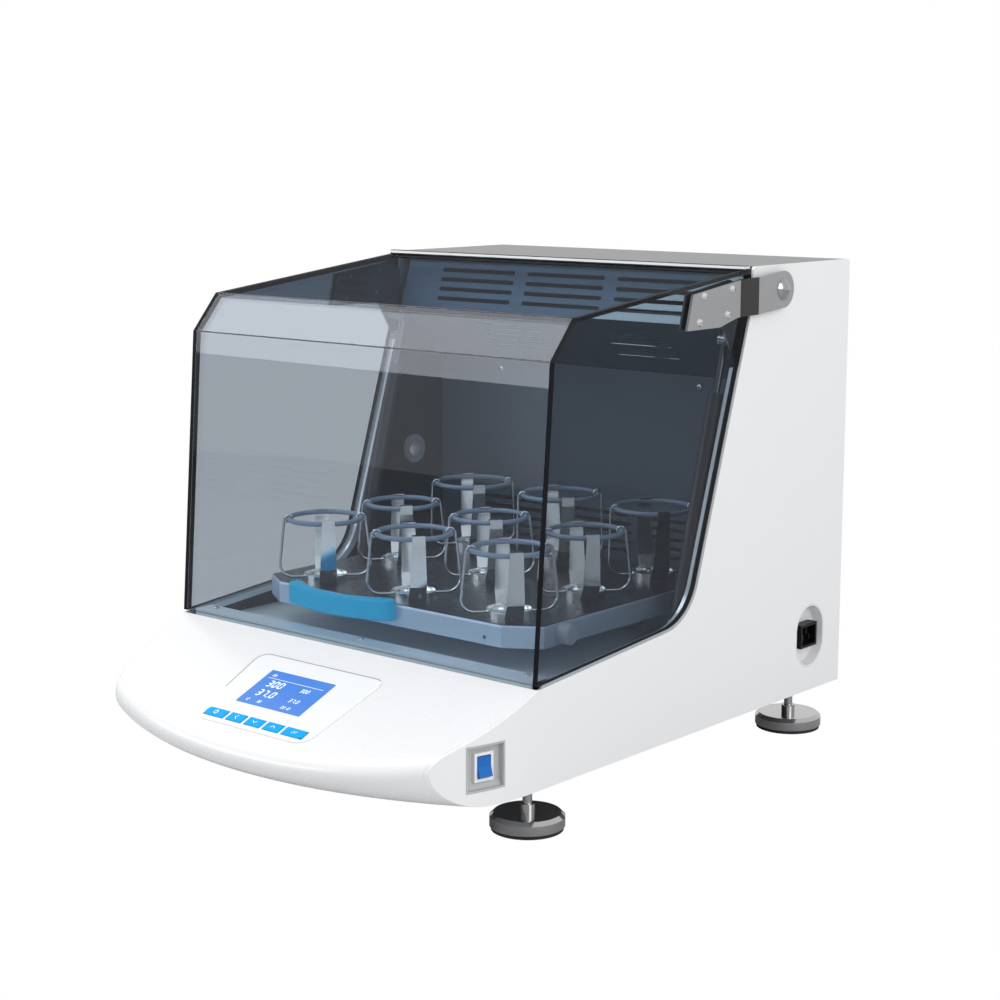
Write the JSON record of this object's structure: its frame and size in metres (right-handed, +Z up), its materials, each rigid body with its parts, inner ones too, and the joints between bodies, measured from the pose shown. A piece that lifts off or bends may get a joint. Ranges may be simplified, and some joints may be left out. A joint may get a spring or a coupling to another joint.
{
  "type": "incubated benchtop shaker",
  "caption": "Incubated benchtop shaker with a hinged clear hood, a clamp-covered orbiting platform, a sloped front control deck and levelling feet.",
  "frame": {"origin": "centre of the footprint on the bench, under the middle of the overall box", "axes": "+X to the machine's right, +Y to its back, +Z up"},
  "size_m": [0.5606, 0.7381, 0.5605],
  "materials": {
    "white_paint": "smooth satin powder coat",
    "grey_paint": "satin grey",
    "white_abs": "smooth moulded",
    "overlay_film": "printed film",
    "screen_glass": "backlit display window",
    "key_blue": "satin",
    "stainless": "brushed",
    "polished": "polished",
    "galvanised": "plain sheet",
    "black_rubber": "matt",
    "black_plastic": "satin",
    "smoked_acrylic": "clear smoked sheet, polished",
    "rocker_blue": "gloss",
    "handle_blue": "gloss",
    "tray_metal": "dark anodised top",
    "ring_sleeve": "soft sleeve",
    "rod_dark": "polished rod",
    "strut_paint": "satin black",
    "drive_metal": "machined",
    "belt_rubber": "ribbed",
    "motor_case": "satin",
    "knob_grey": "satin"
  },
  "bodies": {
    "cabinet": {"side_panel_right": "white_paint", "side_panel_left": "white_paint", "front_bumper": "white_abs", "control_overlay": "overlay_film", "display_screen": "screen_glass", "top_cover": "grey_paint", "rear_panel": "white_paint", "base_pan": "galvanised", "chamber_floor": "stainless", "chamber_liners": "stainless", "chamber_rear_wall": "stainless", "soffit_panel": "stainless", "vent_panel": "stainless", "window_trims": "polished", "hood_seals": "black_rubber", "access_port": "black_plastic", "switch_recess": "knob_grey", "switch_bezel": "white_abs", "inlet_recess": "white_abs", "inlet_socket": "black_plastic", "foot_nuts": "polished", "hinge_pivots": "polished", "strut_pins": "polished", "bearing_housings": "drive_metal", "drive_motor": "motor_case", "drive_belt": "belt_rubber", "fan_motor": "motor_case"},
    "hood": {"hood_front_sheet": "smoked_acrylic", "hood_side_panes": "smoked_acrylic", "hood_arms": "grey_paint", "hood_clamp_plates": "stainless", "hood_screws": "polished", "hood_rail": "black_plastic", "strut_studs": "polished"},
    "strut_body_right": {"strut_body_right": "strut_paint"},
    "strut_body_left": {"strut_body_left": "strut_paint"},
    "strut_rod_right": {"strut_rod_right": "rod_dark"},
    "strut_rod_left": {"strut_rod_left": "rod_dark"},
    "drive": {"drive_crank": "drive_metal", "drive_pulley": "drive_metal"},
    "motor_rotor": {"motor_pulley": "drive_metal"},
    "idler_right": {"idler_crank_right": "drive_metal"},
    "idler_left": {"idler_crank_left": "drive_metal"},
    "platform": {"platform_tray": "tray_metal", "platform_handle": "handle_blue", "clamp_straps": "stainless", "clamp_wires": "polished", "clamp_rings": "ring_sleeve"},
    "knob": {"platform_knob": "knob_grey"},
    "fan": {"fan_wheel": "drive_metal"},
    "rocker": {"power_rocker": "rocker_blue"},
    "key_start": {"key_start": "key_blue"},
    "key_left": {"key_left": "key_blue"},
    "key_down": {"key_down": "key_blue"},
    "key_up": {"key_up": "key_blue"},
    "key_set": {"key_set": "key_blue"},
    "foot_front_right": {"foot_front_right": "polished"},
    "foot_front_left": {"foot_front_left": "polished"},
    "foot_rear_right": {"foot_rear_right": "polished"},
    "foot_rear_left": {"foot_rear_left": "polished"}
  },
  "joints": [
    {"name": "hood_hinge", "type": "hinge", "parent": "cabinet", "child": "hood", "pos_m": [0, 0.215, 0.5325], "axis": [-1, 0, 0], "range_deg": [0, 62]},
    {"name": "strut_right_tilt", "type": "hinge", "parent": "cabinet", "child": "strut_body_right", "pos_m": [0.24, 0.07, 0.175], "axis": [1, 0, 0], "range_deg": [0, 6]},
    {"name": "strut_right_slide", "type": "slide", "parent": "strut_body_right", "child": "strut_rod_right", "axis": [0, 0.2642, 0.9645], "range_m": [0, 0.0785]},
    {"name": "strut_left_tilt", "type": "hinge", "parent": "cabinet", "child": "strut_body_left", "pos_m": [-0.24, 0.07, 0.175], "axis": [1, 0, 0], "range_deg": [0, 6]},
    {"name": "strut_left_slide", "type": "slide", "parent": "strut_body_left", "child": "strut_rod_left", "axis": [0, 0.2642, 0.9645], "range_m": [0, 0.0785]},
    {"name": "drive_spin", "type": "hinge", "parent": "cabinet", "child": "drive", "pos_m": [0, 0.0445, 0.15], "axis": [0, 0, 1], "continuous": true},
    {"name": "platform_orbit", "type": "hinge", "parent": "drive", "child": "platform", "pos_m": [0, 0.035, 0.18], "axis": [0, 0, 1], "continuous": true},
    {"name": "motor_spin", "type": "hinge", "parent": "cabinet", "child": "motor_rotor", "pos_m": [0, -0.1055, 0.09], "axis": [0, 0, 1], "continuous": true},
    {"name": "idler_right_spin", "type": "hinge", "parent": "cabinet", "child": "idler_right", "pos_m": [0.135, 0.1145, 0.15], "axis": [0, 0, 1], "continuous": true},
    {"name": "idler_left_spin", "type": "hinge", "parent": "cabinet", "child": "idler_left", "pos_m": [-0.135, 0.1145, 0.15], "axis": [0, 0, 1], "continuous": true},
    {"name": "knob_turn", "type": "hinge", "parent": "platform", "child": "knob", "pos_m": [0.204, -0.084, 0.188], "axis": [1, 0, 0], "range_deg": [0, 180]},
    {"name": "fan_spin", "type": "hinge", "parent": "cabinet", "child": "fan", "pos_m": [0, 0.285, 0.49], "axis": [1, 0, 0], "continuous": true},
    {"name": "rocker_tilt", "type": "hinge", "parent": "cabinet", "child": "rocker", "pos_m": [0.25195, -0.26447, 0.0965], "axis": [0.2545, 0.9671, 0], "range_deg": [0, 18]},
    {"name": "key_start_press", "type": "slide", "parent": "cabinet", "child": "key_start", "axis": [0, 0.3746, -0.9272], "range_m": [0, 0.001], "stiffness_N_per_m": 400, "springref_m": -0.001},
    {"name": "key_left_press", "type": "slide", "parent": "cabinet", "child": "key_left", "axis": [0, 0.3746, -0.9272], "range_m": [0, 0.001], "stiffness_N_per_m": 400, "springref_m": -0.001},
    {"name": "key_down_press", "type": "slide", "parent": "cabinet", "child": "key_down", "axis": [0, 0.3746, -0.9272], "range_m": [0, 0.001], "stiffness_N_per_m": 400, "springref_m": -0.001},
    {"name": "key_up_press", "type": "slide", "parent": "cabinet", "child": "key_up", "axis": [0, 0.3746, -0.9272], "range_m": [0, 0.001], "stiffness_N_per_m": 400, "springref_m": -0.001},
    {"name": "key_set_press", "type": "slide", "parent": "cabinet", "child": "key_set", "axis": [0, 0.3746, -0.9272], "range_m": [0, 0.001], "stiffness_N_per_m": 400, "springref_m": -0.001},
    {"name": "foot_front_right_screw", "type": "slide", "parent": "cabinet", "child": "foot_front_right", "axis": [0, 0, -1], "range_m": [0, 0.012]},
    {"name": "foot_front_left_screw", "type": "slide", "parent": "cabinet", "child": "foot_front_left", "axis": [0, 0, -1], "range_m": [0, 0.012]},
    {"name": "foot_rear_right_screw", "type": "slide", "parent": "cabinet", "child": "foot_rear_right", "axis": [0, 0, -1], "range_m": [0, 0.012]},
    {"name": "foot_rear_left_screw", "type": "slide", "parent": "cabinet", "child": "foot_rear_left", "axis": [0, 0, -1], "range_m": [0, 0.012]}
  ],
  "couplings": [
    {"joint": "strut_right_tilt", "follows": "hood_hinge", "ratio": 0.09},
    {"joint": "strut_right_slide", "follows": "hood_hinge", "m_per_rad": 0.0722},
    {"joint": "strut_left_tilt", "follows": "hood_hinge", "ratio": 0.09},
    {"joint": "strut_left_slide", "follows": "hood_hinge", "m_per_rad": 0.0722},
    {"joint": "platform_orbit", "follows": "drive_spin", "ratio": -1},
    {"joint": "motor_spin", "follows": "drive_spin", "ratio": 2.5},
    {"joint": "idler_right_spin", "follows": "drive_spin", "ratio": 1},
    {"joint": "idler_left_spin", "follows": "drive_spin", "ratio": 1}
  ]
}
